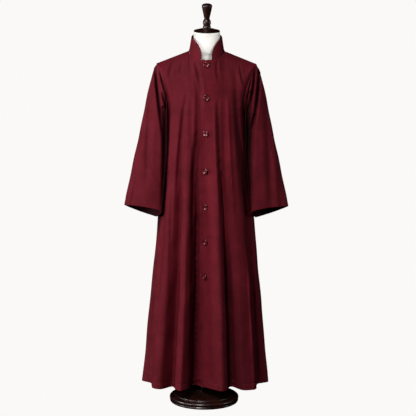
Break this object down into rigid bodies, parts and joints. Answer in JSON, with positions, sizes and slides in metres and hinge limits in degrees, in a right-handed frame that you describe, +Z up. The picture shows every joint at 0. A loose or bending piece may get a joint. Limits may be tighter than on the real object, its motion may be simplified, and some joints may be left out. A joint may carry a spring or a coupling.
{
  "type": "cassock on a dress form",
  "caption": "Full-length burgundy cassock with long wide sleeves, a stand collar and buttons down the front, worn by a limbless dress form on a turned wooden stand.",
  "frame": {"origin": "centre of the base underside, on the floor", "axes": "+Z up along the pole; the wearer faces -Y and has the left arm on +X"},
  "size_m": [0.7146, 0.3275, 1.7759],
  "materials": {
    "burgundy_gabardine": "matt woven wool-blend gabardine with a faint lustre",
    "burgundy_button": "glossy burgundy resin with a raised rim",
    "cream_cotton": "tight off-white cotton jersey",
    "dark_walnut": "turned wood, dark stain under gloss varnish"
  },
  "bodies": {
    "root": {"front_left": "burgundy_gabardine", "front_right": "burgundy_gabardine", "back": "burgundy_gabardine", "sleeve_left": "burgundy_gabardine", "sleeve_right": "burgundy_gabardine", "collar": "burgundy_gabardine", "button_1": "burgundy_button", "button_2": "burgundy_button", "button_3": "burgundy_button", "button_4": "burgundy_button", "button_5": "burgundy_button", "button_6": "burgundy_button", "button_7": "burgundy_button", "form": "cream_cotton", "neck_cap": "dark_walnut", "finial": "dark_walnut", "pole": "dark_walnut", "base": "dark_walnut"}
  },
  "joints": []
}
